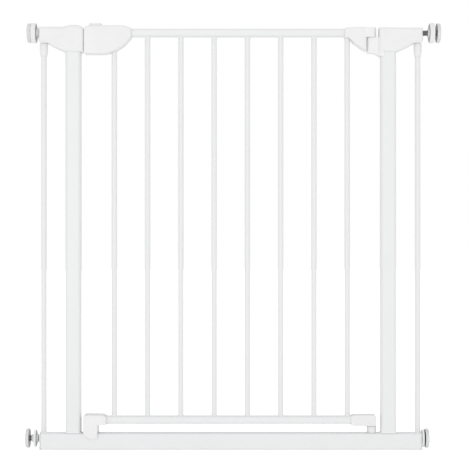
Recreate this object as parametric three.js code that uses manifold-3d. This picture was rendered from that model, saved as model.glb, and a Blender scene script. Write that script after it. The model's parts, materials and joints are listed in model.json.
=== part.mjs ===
// Pressure-fit safety gate: a U-shaped tube frame that four hand screws press between two walls,
// and one barred door that is unlatched with a thumb slider, lifted clear of the base rail and
// swung either way.
//
// Millimetres, +Z up, -Y is the front, +X is the hinge side. The origin is the centre of the base
// rail's underside, on the floor.

import * as THREE from 'three';
import { mergeVertices } from 'three/addons/utils/BufferGeometryUtils.js';
import Module from 'manifold-3d';

const wasm = await Module();
wasm.setup();

// ---------------------------------------------------------------- driving dimensions

const GAP = 0.3; // air between neighbouring pieces
const TUBE_WALL = 1.5;

const RAIL = { halfLength: 344.2, height: 30, depth: 24, corner: 3 };
const PLUG = { flange: 1.8, insert: 14 };
const POST = { x: 285.4, width: 28, depth: 24, corner: 6, top: 757 };
const SIDE_BAR = { x: 339.3, radius: 5, top: 742 };
const FERRULE = { bottom: 713, top: 735.6, topRadius: 7.3, bottomRadius: 6.2 };
const ARM_TUBE = { radius: 7, end: 345 };

const UPPER_AXIS_Z = 755; // hand screws in the arms
const LOWER_AXIS_Z = 20; // hand screws in the base rail

const BAR = { count: 8, pitch: 60.4, radius: 5, wall: 1 };
const DOOR_RAIL = { height: 14, depth: 20, corner: 4, topZ: 755.1, bottomZ: 53.5 };
const DOOR_RAIL_END = 236; // both door rails end here, short of the hinge axis
const TOP_RAIL_START = -225; // the top rail starts inside the handle
const BOTTOM_RAIL_START = -250; // the bottom rail starts inside the lock

const LIFT = 12; // how far the door rises to leave the base rail
const LATCH_TRAVEL = 12;

const HINGE_X = 255.2;
const PIN_RADIUS = 4;
const BUSH_RADIUS = 6.3;
const LUG = { radius: 8.6, bottom: 718.6, webBottom: 711, top: 746.4 };
const WASHER = 1; // thickness of the hinge washers
const COVER = { left: 206, bottom: 748, lowest: 722, top: 764.5, barrel: 8.8, depth: 29, taper: 2.3 };
const HINGE_CAP = { bottom: 43.2, top: 62.8, barrel: 8.6, depth: 25, taper: 1 };

const HOUSING = { outer: 347.3, bottom: 719.5, armBottom: 736, depth: 29 };
const LATCH_HOUSING = { ...HOUSING, side: -1, inner: 266.5, top: 765.4, crown: 3.3 };
const HINGE_HOUSING = { ...HOUSING, side: 1, inner: 268.6, top: 763.5, crown: 0.5 };
const HANDLE = { left: -264.9, right: -179.5, bottom: 716.5, top: 767.9, depth: 29 };
const SHELL_BEVEL = 3;

const BOLT = { tip: -275, tail: -240, z: 740, size: 8 };
const STEM = { left: -250, right: -242, width: 6 };
const SLIDER = { left: -257, right: -234, width: 16, height: 4.8 };
const SPRING = { radius: 3.5, wire: 0.45, turns: 7, end: -217.5 };
const KEEPER = { thickness: 4.2, width: 18, bottom: 730, top: 761.5, slotWidth: 10 };

const LOCK = { left: -266.5, right: -240.5, legBottom: 20, depth: 33 };
const LOCK_CAP = { left: -264, right: -225, bottom: 44.8, top: 63.2, depth: 25 };

const SCREW = { shaft: 1.8, head: 3.4, headHeight: 2.4, reach: 9 };

const SPINDLE_RADIUS = 5;
const PAD = { radius: 17.6, thickness: 6.4, footRadius: 15, footThickness: 3 };

const ARC_SEGMENTS = 5; // per curve of an outline
const CORNER_SEGMENTS = 2; // per quarter turn of a tube's corner, doubled by three.js
const ROUND_SEGMENTS = 20; // round a turned piece
const SMALL_SEGMENTS = 10; // round a screw

// ---------------------------------------------------------------- materials

const finish = (color, roughness, metalness = 0) =>
  () => new THREE.MeshStandardMaterial({ color, roughness, metalness });

const PAINTED_STEEL = finish(0xeeeff0, 0.38);
const WHITE_PLASTIC = finish(0xf3f4f4, 0.45);
const GREY_RUBBER = finish(0xd6d8d9, 0.8);
const DARK_STEEL = finish(0x6d7073, 0.4, 0.9);
const BRIGHT_STEEL = finish(0xc4c6c8, 0.3, 1);

// ---------------------------------------------------------------- joining and cutting

function toSolid(geometry) {
  const bare = geometry.clone();
  bare.deleteAttribute('normal');
  bare.deleteAttribute('uv');
  const merged = mergeVertices(bare, 1e-4);
  const index = merged.index.array;
  const triangles = [];
  for (let i = 0; i < index.length; i += 3) {
    const [a, b, c] = index.slice(i, i + 3);
    // a turned profile that touches its axis makes triangles with no area there
    if (a !== b && b !== c && c !== a) triangles.push(a, b, c);
  }
  return new wasm.Manifold(new wasm.Mesh({
    numProp: 3,
    vertProperties: new Float32Array(merged.attributes.position.array),
    triVerts: new Uint32Array(triangles),
  }));
}

function toGeometry(solid) {
  const mesh = solid.getMesh();
  const geometry = new THREE.BufferGeometry();
  geometry.setAttribute('position', new THREE.BufferAttribute(new Float32Array(mesh.vertProperties), 3));
  geometry.setIndex(new THREE.BufferAttribute(new Uint32Array(mesh.triVerts), 1));
  geometry.computeVertexNormals();
  return geometry;
}

function join(...geometries) {
  return toGeometry(geometries.map(toSolid).reduce((a, b) => a.add(b)));
}

function cut(geometry, ...tools) {
  return toGeometry(tools.map(toSolid).reduce((a, b) => a.subtract(b), toSolid(geometry)));
}

function common(a, b) {
  return toGeometry(toSolid(a).intersect(toSolid(b)));
}

// ---------------------------------------------------------------- basic shapes

function rectangle(width, height, corner, path = new THREE.Shape()) {
  const x = width / 2 - corner;
  const y = height / 2 - corner;
  path.absarc(x, -y, corner, -Math.PI / 2, 0);
  path.absarc(x, y, corner, 0, Math.PI / 2);
  path.absarc(-x, y, corner, Math.PI / 2, Math.PI);
  path.absarc(-x, -y, corner, Math.PI, 1.5 * Math.PI);
  path.closePath();
  return path;
}

// A box between two corners.
function block([x0, y0, z0], [x1, y1, z1]) {
  return new THREE.BoxGeometry(x1 - x0, y1 - y0, z1 - z0)
    .translate((x0 + x1) / 2, (y0 + y1) / 2, (z0 + z1) / 2);
}

// A solid of revolution about Z. The profile is [radius, z] pairs with the material on its left.
function turned(profile, segments = ROUND_SEGMENTS) {
  const points = profile.map(([radius, z]) => new THREE.Vector2(radius, z));
  return new THREE.LatheGeometry(points, segments).rotateX(Math.PI / 2);
}

function disc(radius, z0, z1) {
  return turned([[0, z0], [radius, z0], [radius, z1], [0, z1]]);
}

function ring(inner, outer, z0, z1) {
  return turned([[inner, z0], [outer, z0], [outer, z1], [inner, z1], [inner, z0]]);
}

// A rectangular tube that runs along Z from 0 to its length.
function squareTube(width, depth, corner, length, wall = TUBE_WALL) {
  const section = rectangle(width, depth, corner);
  const hollow = rectangle(width - 2 * wall, depth - 2 * wall, corner - wall, new THREE.Path());
  section.holes.push(hollow);
  return new THREE.ExtrudeGeometry(section, {
    depth: length,
    bevelEnabled: false,
    curveSegments: CORNER_SEGMENTS,
  });
}

// The same tube turned to run along X, with its width upright, centred on the origin.
function lyingTube(height, depth, corner, length) {
  return squareTube(height, depth, corner, length)
    .translate(0, 0, -length / 2)
    .rotateY(Math.PI / 2);
}

// A front-view outline in X and Z, given thickness along Y with rounded front and rear edges.
function plate(outline, depth, bevel = 0) {
  return new THREE.ExtrudeGeometry(outline, {
    depth: depth - 2 * bevel,
    bevelEnabled: bevel > 0,
    bevelThickness: bevel,
    bevelSize: bevel,
    bevelOffset: -bevel,
    bevelSegments: 2,
    curveSegments: ARC_SEGMENTS,
  }).translate(0, 0, bevel - depth / 2).rotateX(Math.PI / 2);
}

// A plan-view outline in X and Y, given height along Z.
function prism(outline, z0, z1) {
  return new THREE.ExtrudeGeometry(outline, {
    depth: z1 - z0,
    bevelEnabled: false,
    curveSegments: CORNER_SEGMENTS,
  }).translate(0, 0, z0);
}

// The front half (side -1) or rear half (side +1) of a shell that is split along Y = 0.
function halfOf(geometry, side) {
  const far = 100;
  const reach = 1000;
  const near = GAP / 2;
  const region = side < 0
    ? block([-reach, -far, -reach], [reach, -near, reach])
    : block([-reach, near, -reach], [reach, far, reach]);
  return common(geometry, region);
}

// ---------------------------------------------------------------- the scene graph

const gate = new THREE.Group();
const frame = new THREE.Group();
const door = new THREE.Group();
gate.add(frame, door);

function place(group, name, geometry, material, position = [0, 0, 0]) {
  const mesh = new THREE.Mesh(geometry, material());
  mesh.name = name;
  mesh.position.set(...position);
  group.add(mesh);
  return mesh;
}

const SIDES = [['left', -1], ['right', 1]];
const HALVES = [['front', -1], ['rear', 1]];

// ---------------------------------------------------------------- welded frame

function baseRail() {
  return lyingTube(RAIL.height, RAIL.depth, RAIL.corner, 2 * RAIL.halfLength);
}

place(frame, 'base_rail', baseRail(), PAINTED_STEEL, [0, 0, RAIL.height / 2]);

const railTop = RAIL.height + GAP;

// The left post has a window for the latch bolt, tall enough for the lift.
const boltRoom = {
  bottom: BOLT.z - BOLT.size / 2 - 2,
  top: BOLT.z + BOLT.size / 2 + LIFT + 2,
};

function post(side) {
  const tube = squareTube(POST.width, POST.depth, POST.corner, POST.top - railTop);
  if (side > 0) return tube;
  const halfSlot = KEEPER.slotWidth / 2;
  const window = block(
    [0, -halfSlot, boltRoom.bottom - railTop],
    [POST.width, halfSlot, boltRoom.top - railTop],
  );
  return cut(tube, window);
}

for (const [label, side] of SIDES) {
  place(frame, `post_${label}`, post(side), PAINTED_STEEL, [side * POST.x, 0, railTop]);
  place(
    frame,
    `side_bar_${label}`,
    ring(SIDE_BAR.radius - BAR.wall, SIDE_BAR.radius, 0, SIDE_BAR.top - railTop),
    PAINTED_STEEL,
    [side * SIDE_BAR.x, 0, railTop],
  );
  const collarBore = SIDE_BAR.radius + GAP;
  const ferrule = turned([
    [collarBore, FERRULE.bottom],
    [FERRULE.bottomRadius, FERRULE.bottom],
    [FERRULE.topRadius, FERRULE.top - 8],
    [FERRULE.topRadius, FERRULE.top],
    [collarBore, FERRULE.top],
    [collarBore, FERRULE.bottom],
  ]);
  place(frame, `ferrule_${label}`, ferrule, WHITE_PLASTIC, [side * SIDE_BAR.x, 0, 0]);

  // The arm tube is a sleeve that guides the upper hand screw, from the post out to the arm's end.
  const postFace = POST.x + POST.width / 2 + GAP;
  const sleeve = ring(SPINDLE_RADIUS + GAP, ARM_TUBE.radius, postFace, ARM_TUBE.end)
    .rotateY(side * Math.PI / 2);
  place(frame, `arm_tube_${label}`, sleeve, PAINTED_STEEL, [0, 0, UPPER_AXIS_Z]);
}

// A plug closes each end of the base rail and guides the lower hand screw.
function basePlug() {
  const clearance = 2 * (TUBE_WALL + GAP);
  const insert = prism(
    rectangle(RAIL.height - clearance, RAIL.depth - clearance, TUBE_WALL),
    RAIL.halfLength - PLUG.insert,
    RAIL.halfLength + GAP + 1,
  );
  const flange = prism(
    rectangle(RAIL.height, RAIL.depth, RAIL.corner),
    RAIL.halfLength + GAP,
    RAIL.halfLength + GAP + PLUG.flange,
  );
  const body = join(insert, flange);
  return body.rotateY(Math.PI / 2);
}

for (const [label, side] of SIDES) {
  const bore = disc(SPINDLE_RADIUS + GAP, 0, 2 * RAIL.halfLength)
    .rotateY(Math.PI / 2)
    .translate(0, 0, LOWER_AXIS_Z - RAIL.height / 2);
  const plug = cut(basePlug(), bore);
  if (side < 0) plug.rotateZ(Math.PI);
  place(frame, `base_plug_${label}`, plug, WHITE_PLASTIC, [0, 0, RAIL.height / 2]);
}

// ---------------------------------------------------------------- screws of the plastic shells

// A screw enters from the rear and holds the two halves of a shell together.
const SCREW_HEAD_FACE = 12; // Y of the head's face, sunk below the shell's rear

function screw() {
  const start = SCREW_HEAD_FACE - SCREW.headHeight;
  return turned([
    [0, -SCREW.reach],
    [SCREW.shaft, 1.5 - SCREW.reach],
    [SCREW.shaft, start],
    [SCREW.head, start],
    [SCREW.head, SCREW_HEAD_FACE],
    [0, SCREW_HEAD_FACE],
  ], SMALL_SEGMENTS).rotateX(-Math.PI / 2);
}

function screwHole(x, z) {
  const start = SCREW_HEAD_FACE - SCREW.headHeight - GAP;
  return turned([
    [0, -SCREW.reach - GAP],
    [SCREW.shaft + GAP, -SCREW.reach - GAP],
    [SCREW.shaft + GAP, start],
    [SCREW.head + GAP, start],
    [SCREW.head + GAP, 30],
    [0, 30],
  ], SMALL_SEGMENTS).rotateX(-Math.PI / 2).translate(x, 0, z);
}

const housingScrew = { x: 322, z: 738 };
const coverScrew = { x: 231, z: 738 };
const handleScrews = [{ x: -243, z: 726 }, { x: -199, z: 739 }];

// ---------------------------------------------------------------- corner housings

// The outline of a housing as seen from the front. It rises by its crown over the post.
function housingOutline({ side, inner, outer, bottom, armBottom, top, crown }) {
  const corner = 5;
  const x = (value) => side * value;
  const outline = new THREE.Shape();
  outline.moveTo(x(inner), bottom);
  outline.lineTo(x(298), bottom);
  outline.bezierCurveTo(x(308), 723.5, x(320), 728, x(331.6), armBottom);
  outline.lineTo(x(outer - corner), armBottom);
  outline.quadraticCurveTo(x(outer), armBottom, x(outer), armBottom + corner);
  outline.lineTo(x(outer), top - corner);
  outline.quadraticCurveTo(x(outer), top, x(outer - corner), top);
  outline.lineTo(x(306), top);
  outline.bezierCurveTo(x(296), top, x(296), top + crown, x(286), top + crown);
  outline.lineTo(x(inner + 7.5), top + crown);
  outline.quadraticCurveTo(x(inner), top + crown, x(inner), top + crown - 6);
  outline.closePath();
  return outline;
}

// The lug that carries the upper hinge: a barrel about the hinge axis and a web to the housing.
function hingeLug() {
  const barrel = turned([
    [0, LUG.bottom],
    [LUG.radius - 2.5, LUG.bottom],
    [LUG.radius, LUG.bottom + 4],
    [LUG.radius, LUG.top],
    [0, LUG.top],
  ]).translate(HINGE_X, 0, 0);
  const web = new THREE.Shape();
  const end = HINGE_HOUSING.inner + 4;
  web.moveTo(HINGE_X, LUG.bottom + 0.5);
  web.lineTo(end - 8, LUG.bottom - 1.6);
  web.lineTo(end, LUG.webBottom);
  web.lineTo(end, LUG.top);
  web.lineTo(HINGE_X, LUG.top);
  web.closePath();
  return join(barrel, plate(web, 2 * LUG.radius - 2));
}

function housing(part) {
  const { side, inner, outer, bottom, armBottom, depth } = part;
  const outside = plate(housingOutline(part), depth, SHELL_BEVEL);
  const postRoom = prism(
    rectangle(POST.width + 2 * GAP, POST.depth + 2 * GAP, POST.corner),
    bottom - 10,
    POST.top + GAP,
  ).translate(side * POST.x, 0, 0);
  const tubeRoom = disc(ARM_TUBE.radius + GAP, POST.x, outer + 10)
    .rotateY(side * Math.PI / 2)
    .translate(0, 0, UPPER_AXIS_Z);
  const sideBarRoom = disc(SIDE_BAR.radius + GAP, armBottom - 10, SIDE_BAR.top + GAP)
    .translate(side * SIDE_BAR.x, 0, 0);
  const rooms = [postRoom, tubeRoom, sideBarRoom, screwHole(side * housingScrew.x, housingScrew.z)];
  if (side < 0) {
    const halfWidth = KEEPER.width / 2 + GAP;
    rooms.push(block(
      [-inner - KEEPER.thickness - 2 * GAP, -halfWidth, KEEPER.bottom - GAP],
      [-inner + 10, halfWidth, KEEPER.top + GAP],
    ));
    return cut(outside, ...rooms);
  }
  rooms.push(disc(BUSH_RADIUS + GAP, LUG.bottom + 3, LUG.top + 5).translate(HINGE_X, 0, 0));
  return cut(join(outside, hingeLug()), ...rooms);
}

for (const part of [LATCH_HOUSING, HINGE_HOUSING]) {
  const label = part.side < 0 ? 'left' : 'right';
  const whole = housing(part);
  for (const [half, direction] of HALVES) {
    place(frame, `housing_${label}_${half}`, halfOf(whole, direction), WHITE_PLASTIC);
  }
  const screwAt = [part.side * housingScrew.x, 0, housingScrew.z];
  place(frame, `housing_screw_${label}`, screw(), BRIGHT_STEEL, screwAt);
}

// The keeper lines the slot that the latch bolt enters.
function keeper() {
  const halfWidth = KEEPER.width / 2;
  const halfSlot = KEEPER.slotWidth / 2;
  const outside = block([0, -halfWidth, KEEPER.bottom], [KEEPER.thickness, halfWidth, KEEPER.top]);
  const slot = block([-1, -halfSlot, boltRoom.bottom], [KEEPER.thickness + 1, halfSlot, boltRoom.top]);
  return cut(outside, slot);
}

const keeperX = -LATCH_HOUSING.inner - KEEPER.thickness - GAP;
place(frame, 'latch_keeper', keeper(), BRIGHT_STEEL, [keeperX, 0, 0]);

// ---------------------------------------------------------------- hinge hardware

const boreRadius = PIN_RADIUS + GAP;
const collarTop = HINGE_CAP.bottom - WASHER - 2 * GAP;
const upperPin = { bottom: LUG.bottom + 6, top: COVER.bottom + 12 };
const lowerPinTop = HINGE_CAP.top - 1.9;

place(
  frame,
  'upper_hinge_bush',
  ring(boreRadius, BUSH_RADIUS, LUG.bottom + 3 + GAP, LUG.top - GAP),
  WHITE_PLASTIC,
  [HINGE_X, 0, 0],
);
place(
  frame,
  'upper_hinge_washer',
  ring(boreRadius, LUG.radius - 0.5, LUG.top + GAP, LUG.top + GAP + WASHER),
  BRIGHT_STEEL,
  [HINGE_X, 0, 0],
);
place(
  frame,
  'lower_hinge_washer',
  ring(boreRadius, HINGE_CAP.barrel - 0.5, collarTop + GAP, collarTop + GAP + WASHER),
  BRIGHT_STEEL,
  [HINGE_X, 0, 0],
);
place(
  frame,
  'lower_hinge_collar',
  ring(boreRadius, HINGE_CAP.barrel, railTop, collarTop),
  WHITE_PLASTIC,
  [HINGE_X, 0, 0],
);
place(frame, 'lower_hinge_pin', disc(PIN_RADIUS, railTop, lowerPinTop), DARK_STEEL, [HINGE_X, 0, 0]);
place(door, 'upper_hinge_pin', disc(PIN_RADIUS, upperPin.bottom, upperPin.top), DARK_STEEL, [HINGE_X, 0, 0]);
place(
  door,
  'lower_hinge_bush',
  ring(boreRadius, BUSH_RADIUS, HINGE_CAP.bottom + GAP, lowerPinTop),
  WHITE_PLASTIC,
  [HINGE_X, 0, 0],
);

// ---------------------------------------------------------------- door rails and bars

function doorRail(start) {
  const length = DOOR_RAIL_END - start;
  return lyingTube(DOOR_RAIL.height, DOOR_RAIL.depth, DOOR_RAIL.corner, length);
}

for (const [name, start, z] of [
  ['door_top_rail', TOP_RAIL_START, DOOR_RAIL.topZ],
  ['door_bottom_rail', BOTTOM_RAIL_START, DOOR_RAIL.bottomZ],
]) {
  place(door, name, doorRail(start), PAINTED_STEEL, [(start + DOOR_RAIL_END) / 2, 0, z]);
}

const barBottom = DOOR_RAIL.bottomZ + DOOR_RAIL.height / 2 + GAP;
const barTop = DOOR_RAIL.topZ - DOOR_RAIL.height / 2 - GAP;

const outerBarX = (BAR.count - 1) / 2 * BAR.pitch;

for (let i = 0; i < BAR.count; i += 1) {
  const bar = ring(BAR.radius - BAR.wall, BAR.radius, 0, barTop - barBottom);
  place(door, `door_bar_${i + 1}`, bar, PAINTED_STEEL, [i * BAR.pitch - outerBarX, 0, barBottom]);
}

// The room that a shell leaves for the end of a door rail.
function railRoom(x0, x1, z) {
  const halfDepth = DOOR_RAIL.depth / 2 + GAP;
  const halfHeight = DOOR_RAIL.height / 2 + GAP;
  return block([x0, -halfDepth, z - halfHeight], [x1, halfDepth, z + halfHeight]);
}

// The room that a shell leaves for the outermost bar, which comes up through its underside.
function barRoom(x) {
  return disc(BAR.radius + GAP, HANDLE.bottom - 10, DOOR_RAIL.topZ).translate(x, 0, 0);
}

// ---------------------------------------------------------------- handle and latch

function handleOutline() {
  const { left, right, bottom, top } = HANDLE;
  const outline = new THREE.Shape();
  outline.moveTo(left, bottom);
  outline.lineTo(-228, bottom);
  outline.bezierCurveTo(-210, bottom + 2, -192, bottom + 13, right, bottom + 31);
  outline.lineTo(right, top - 7);
  outline.quadraticCurveTo(-185, top, -201, top);
  outline.lineTo(-252, top);
  outline.quadraticCurveTo(left, top, left, top - 5);
  outline.closePath();
  return outline;
}

function handle() {
  const halfBolt = BOLT.size / 2 + GAP;
  const halfStem = STEM.width / 2 + GAP;
  const boltRun = block(
    [HANDLE.left - 5, -halfBolt, BOLT.z - halfBolt],
    [SPRING.end + GAP, halfBolt, BOLT.z + halfBolt],
  );
  const stemRun = block(
    [STEM.left - GAP, -halfStem, BOLT.z],
    [STEM.right + LATCH_TRAVEL + GAP, halfStem, HANDLE.top + 5],
  );
  const rail = railRoom(TOP_RAIL_START - GAP, HANDLE.right + 5, DOOR_RAIL.topZ);
  const holes = handleScrews.map(({ x, z }) => screwHole(x, z));
  const outside = plate(handleOutline(), HANDLE.depth, SHELL_BEVEL);
  return cut(outside, boltRun, stemRun, rail, barRoom(-outerBarX), ...holes);
}

const wholeHandle = handle();
for (const [half, direction] of HALVES) {
  place(door, `handle_${half}`, halfOf(wholeHandle, direction), WHITE_PLASTIC);
}
handleScrews.forEach(({ x, z }, i) => place(door, `handle_screw_${i + 1}`, screw(), BRIGHT_STEEL, [x, 0, z]));

function latchBolt() {
  const half = BOLT.size / 2;
  const outline = new THREE.Shape();
  outline.moveTo(BOLT.tip, -half + 2);
  outline.lineTo(BOLT.tip + 2, -half);
  outline.lineTo(BOLT.tail, -half);
  outline.lineTo(BOLT.tail, half);
  outline.lineTo(BOLT.tip + 2, half);
  outline.lineTo(BOLT.tip, half - 2);
  outline.closePath();
  return plate(outline, BOLT.size);
}

// The thumb slider's stem goes down through the handle's slot to the bolt.
function thumbSlider() {
  const bottom = HANDLE.top + GAP;
  const outline = new THREE.Shape();
  outline.moveTo(SLIDER.left, bottom);
  outline.lineTo(SLIDER.right, bottom);
  outline.lineTo(SLIDER.right, bottom + SLIDER.height - 2);
  outline.quadraticCurveTo(SLIDER.right, bottom + SLIDER.height, SLIDER.right - 2, bottom + SLIDER.height);
  outline.lineTo(SLIDER.left + 4, bottom + SLIDER.height);
  outline.quadraticCurveTo(SLIDER.left, bottom + SLIDER.height, SLIDER.left, bottom + 1.6);
  outline.closePath();
  const halfStem = STEM.width / 2;
  const stem = block(
    [STEM.left, -halfStem, BOLT.z + BOLT.size / 2 + GAP],
    [STEM.right, halfStem, bottom + 1],
  );
  return join(plate(outline, SLIDER.width, 0.7), stem);
}

// The return spring is one round wire on a helix behind the bolt.
function latchSpring() {
  const start = BOLT.tail + GAP + SPRING.wire;
  const length = SPRING.end - SPRING.wire - start;
  const coilRadius = SPRING.radius - SPRING.wire;
  const helix = new THREE.Curve();
  helix.getPoint = (t) => {
    const angle = 2 * Math.PI * SPRING.turns * t;
    return new THREE.Vector3(start + length * t, coilRadius * Math.cos(angle), coilRadius * Math.sin(angle));
  };
  const wire = new THREE.Shape().absarc(0, 0, SPRING.wire, 0, 2 * Math.PI);
  return new THREE.ExtrudeGeometry(wire, {
    extrudePath: helix,
    steps: 8 * SPRING.turns,
    bevelEnabled: false,
    curveSegments: CORNER_SEGMENTS,
  });
}

place(door, 'latch_bolt', latchBolt(), BRIGHT_STEEL, [0, 0, BOLT.z]);
place(door, 'thumb_slider', thumbSlider(), WHITE_PLASTIC);
place(door, 'latch_spring', latchSpring(), BRIGHT_STEEL, [0, 0, BOLT.z]);

// ---------------------------------------------------------------- upper hinge cover

// Near the hinge the cover narrows at 45 degrees in plan, so that it clears the housing at a
// quarter turn either way. Its barrel is round about the hinge axis.
function taperedPlan(barrel, halfDepth, offset, start) {
  const reach = halfDepth + offset;
  const side = (offset + Math.sqrt(2 * barrel ** 2 - offset ** 2)) / 2;
  const angle = Math.atan2(side - offset, side);
  const plan = new THREE.Shape();
  plan.moveTo(start, -halfDepth);
  plan.lineTo(HINGE_X - reach, -halfDepth);
  plan.absarc(HINGE_X, 0, barrel, Math.PI + angle, 3 * Math.PI - angle);
  plan.lineTo(HINGE_X - reach, halfDepth);
  plan.lineTo(start, halfDepth);
  plan.closePath();
  return plan;
}

function coverOutline() {
  const { left, bottom, lowest, top, barrel } = COVER;
  const right = HINGE_X + barrel;
  const lowerRight = HINGE_X - LUG.radius - 1.6;
  const outline = new THREE.Shape();
  outline.moveTo(left, 745.6);
  outline.lineTo(213, 745.6);
  outline.bezierCurveTo(219, 741, 226, 731.5, lowerRight, lowest);
  outline.lineTo(lowerRight, bottom);
  outline.lineTo(right, bottom);
  outline.lineTo(right, top - 4);
  outline.quadraticCurveTo(right, top, right - 4, top);
  outline.lineTo(left + 18, top);
  outline.quadraticCurveTo(left + 8, top, left, top - 1);
  outline.closePath();
  return outline;
}

function hingeCover() {
  const bevel = 2;
  const outside = common(
    plate(coverOutline(), COVER.depth, bevel),
    prism(taperedPlan(COVER.barrel, COVER.depth / 2 + 1, COVER.taper, COVER.left - 10), 700, 780),
  );
  return cut(
    outside,
    railRoom(COVER.left - 10, DOOR_RAIL_END + GAP, DOOR_RAIL.topZ),
    barRoom(outerBarX),
    disc(boreRadius, COVER.bottom - 5, upperPin.top + GAP).translate(HINGE_X, 0, 0),
    screwHole(coverScrew.x, coverScrew.z),
  );
}

const wholeCover = hingeCover();
for (const [half, direction] of HALVES) {
  place(door, `hinge_cover_${half}`, halfOf(wholeCover, direction), WHITE_PLASTIC);
}
place(door, 'hinge_cover_screw', screw(), BRIGHT_STEEL, [coverScrew.x, 0, coverScrew.z]);

// ---------------------------------------------------------------- lower hinge cap

function hingeCap() {
  const { bottom, top, barrel, depth, taper } = HINGE_CAP;
  const start = outerBarX + BAR.radius + 1;
  const right = HINGE_X + barrel;
  const outline = new THREE.Shape();
  outline.moveTo(start, bottom);
  outline.lineTo(right, bottom);
  outline.lineTo(right, top - 6);
  outline.quadraticCurveTo(right, top, right - 6, top);
  outline.lineTo(start + 4, top);
  outline.lineTo(start, top - 3);
  outline.closePath();
  const plan = taperedPlan(barrel, depth / 2, taper, start - 10);
  const outside = common(plate(outline, depth, 1.2), prism(plan, bottom - 5, top + 5));
  return cut(
    outside,
    railRoom(start - 10, DOOR_RAIL_END + GAP, DOOR_RAIL.bottomZ),
    disc(BUSH_RADIUS + GAP, bottom - 5, lowerPinTop + GAP).translate(HINGE_X, 0, 0),
  );
}

place(door, 'bottom_hinge_cap', hingeCap(), WHITE_PLASTIC);

// ---------------------------------------------------------------- bottom lock

// A fork that stands astride the base rail until the door is lifted.
function bottomLock() {
  const { left, right, legBottom, depth } = LOCK;
  const fork = new THREE.Shape();
  fork.moveTo(left, legBottom + 8);
  fork.quadraticCurveTo(left + 4, legBottom, left + 12, legBottom);
  fork.lineTo(right - 2, legBottom);
  fork.quadraticCurveTo(right, legBottom, right, legBottom + 2);
  fork.lineTo(right, LOCK_CAP.bottom + 4);
  fork.lineTo(left, LOCK_CAP.bottom + 4);
  fork.closePath();
  const cap = new THREE.Shape();
  cap.moveTo(LOCK_CAP.left, LOCK_CAP.bottom);
  cap.lineTo(LOCK_CAP.right, LOCK_CAP.bottom);
  cap.lineTo(LOCK_CAP.right, LOCK_CAP.top - 3.5);
  cap.lineTo(LOCK_CAP.right - 6, LOCK_CAP.top);
  cap.lineTo(LOCK_CAP.left + 4, LOCK_CAP.top);
  cap.quadraticCurveTo(LOCK_CAP.left, LOCK_CAP.top, LOCK_CAP.left, LOCK_CAP.top - 4);
  cap.closePath();
  const slotHalf = RAIL.depth / 2 + 2 * GAP;
  const slot = block([left - 5, -slotHalf, 0], [right + 5, slotHalf, RAIL.height + 1.3]);
  return cut(
    join(plate(fork, depth, 1.2), plate(cap, LOCK_CAP.depth, 1.2)),
    slot,
    railRoom(BOTTOM_RAIL_START - GAP, LOCK_CAP.right + 5, DOOR_RAIL.bottomZ),
  );
}

place(door, 'bottom_lock', bottomLock(), WHITE_PLASTIC);

// ---------------------------------------------------------------- hand screws

// A wheel with shallow finger scallops and a hole for the spindle, from z0 to z1.
function scallopedWheel(radius, z0, z1) {
  const lobes = 12;
  const pointsPerLobe = 4;
  const scallop = 0.7;
  const bevel = 1;
  const total = lobes * pointsPerLobe;
  const points = [];
  for (let i = 0; i < total; i += 1) {
    const angle = 2 * Math.PI * i / total;
    const r = radius - scallop + scallop * Math.cos(lobes * angle);
    points.push(new THREE.Vector2(r * Math.cos(angle), r * Math.sin(angle)));
  }
  const solid = new THREE.ExtrudeGeometry(new THREE.Shape(points), {
    depth: z1 - z0 - 2 * bevel,
    bevelThickness: bevel,
    bevelSize: bevel,
    bevelOffset: -bevel,
    bevelSegments: 1,
  });
  return solid.translate(0, 0, z0 + bevel);
}

// Distances run outward from the gate's middle: the spindle's inner end, the wheel's boss, its rim,
// its outer boss and the pad's wall face.
const ADJUSTERS = [
  { name: 'upper_left', side: -1, z: UPPER_AXIS_Z, start: 308, boss: 347.6, rim: [353.3, 361.7], wall: 368.4 },
  { name: 'upper_right', side: 1, z: UPPER_AXIS_Z, start: 308, boss: 357.3, rim: [360, 369], wall: 379.8 },
  {
    name: 'lower_left', side: -1, z: LOWER_AXIS_Z, start: 300, boss: 348.3, rim: [352, 356.4], outerBoss: 361,
    wall: 371.3,
  },
  { name: 'lower_right', side: 1, z: LOWER_AXIS_Z, start: 300, boss: 346.6, rim: [346.6, 350.4], wall: 359 },
];
const UPPER_WHEEL_RADIUS = 18.2;
const LOWER_WHEEL_RADIUS = 15.9;

function handWheel({ z, boss, rim, outerBoss }) {
  const [z0, z1] = rim;
  const radius = z === UPPER_AXIS_Z ? UPPER_WHEEL_RADIUS : LOWER_WHEEL_RADIUS;
  const pieces = [scallopedWheel(radius, z0, z1)];
  if (boss < z0) pieces.push(disc(8, boss, z0 + 1));
  if (outerBoss) pieces.push(disc(6.8, z1 - 1, outerBoss));
  return cut(join(...pieces), disc(SPINDLE_RADIUS + GAP, 0, 500));
}

function spindle({ start, wall }) {
  const foot = wall - PAD.thickness;
  return turned([
    [0, start],
    [SPINDLE_RADIUS - 1, start],
    [SPINDLE_RADIUS, start + 1],
    [SPINDLE_RADIUS, foot],
    [PAD.footRadius, foot],
    [PAD.footRadius, foot + PAD.footThickness],
    [0, foot + PAD.footThickness],
  ]);
}

// The pad is a rubber cup over the spindle's foot.
function wallPad({ wall }) {
  const inner = wall - PAD.thickness;
  const pocket = inner + PAD.footThickness + GAP;
  return turned([
    [0, pocket],
    [PAD.footRadius + GAP, pocket],
    [PAD.footRadius + GAP, inner],
    [PAD.radius - 1, inner],
    [PAD.radius, inner + 1],
    [PAD.radius, wall - 1],
    [PAD.radius - 1, wall],
    [0, wall],
  ]);
}

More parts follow.
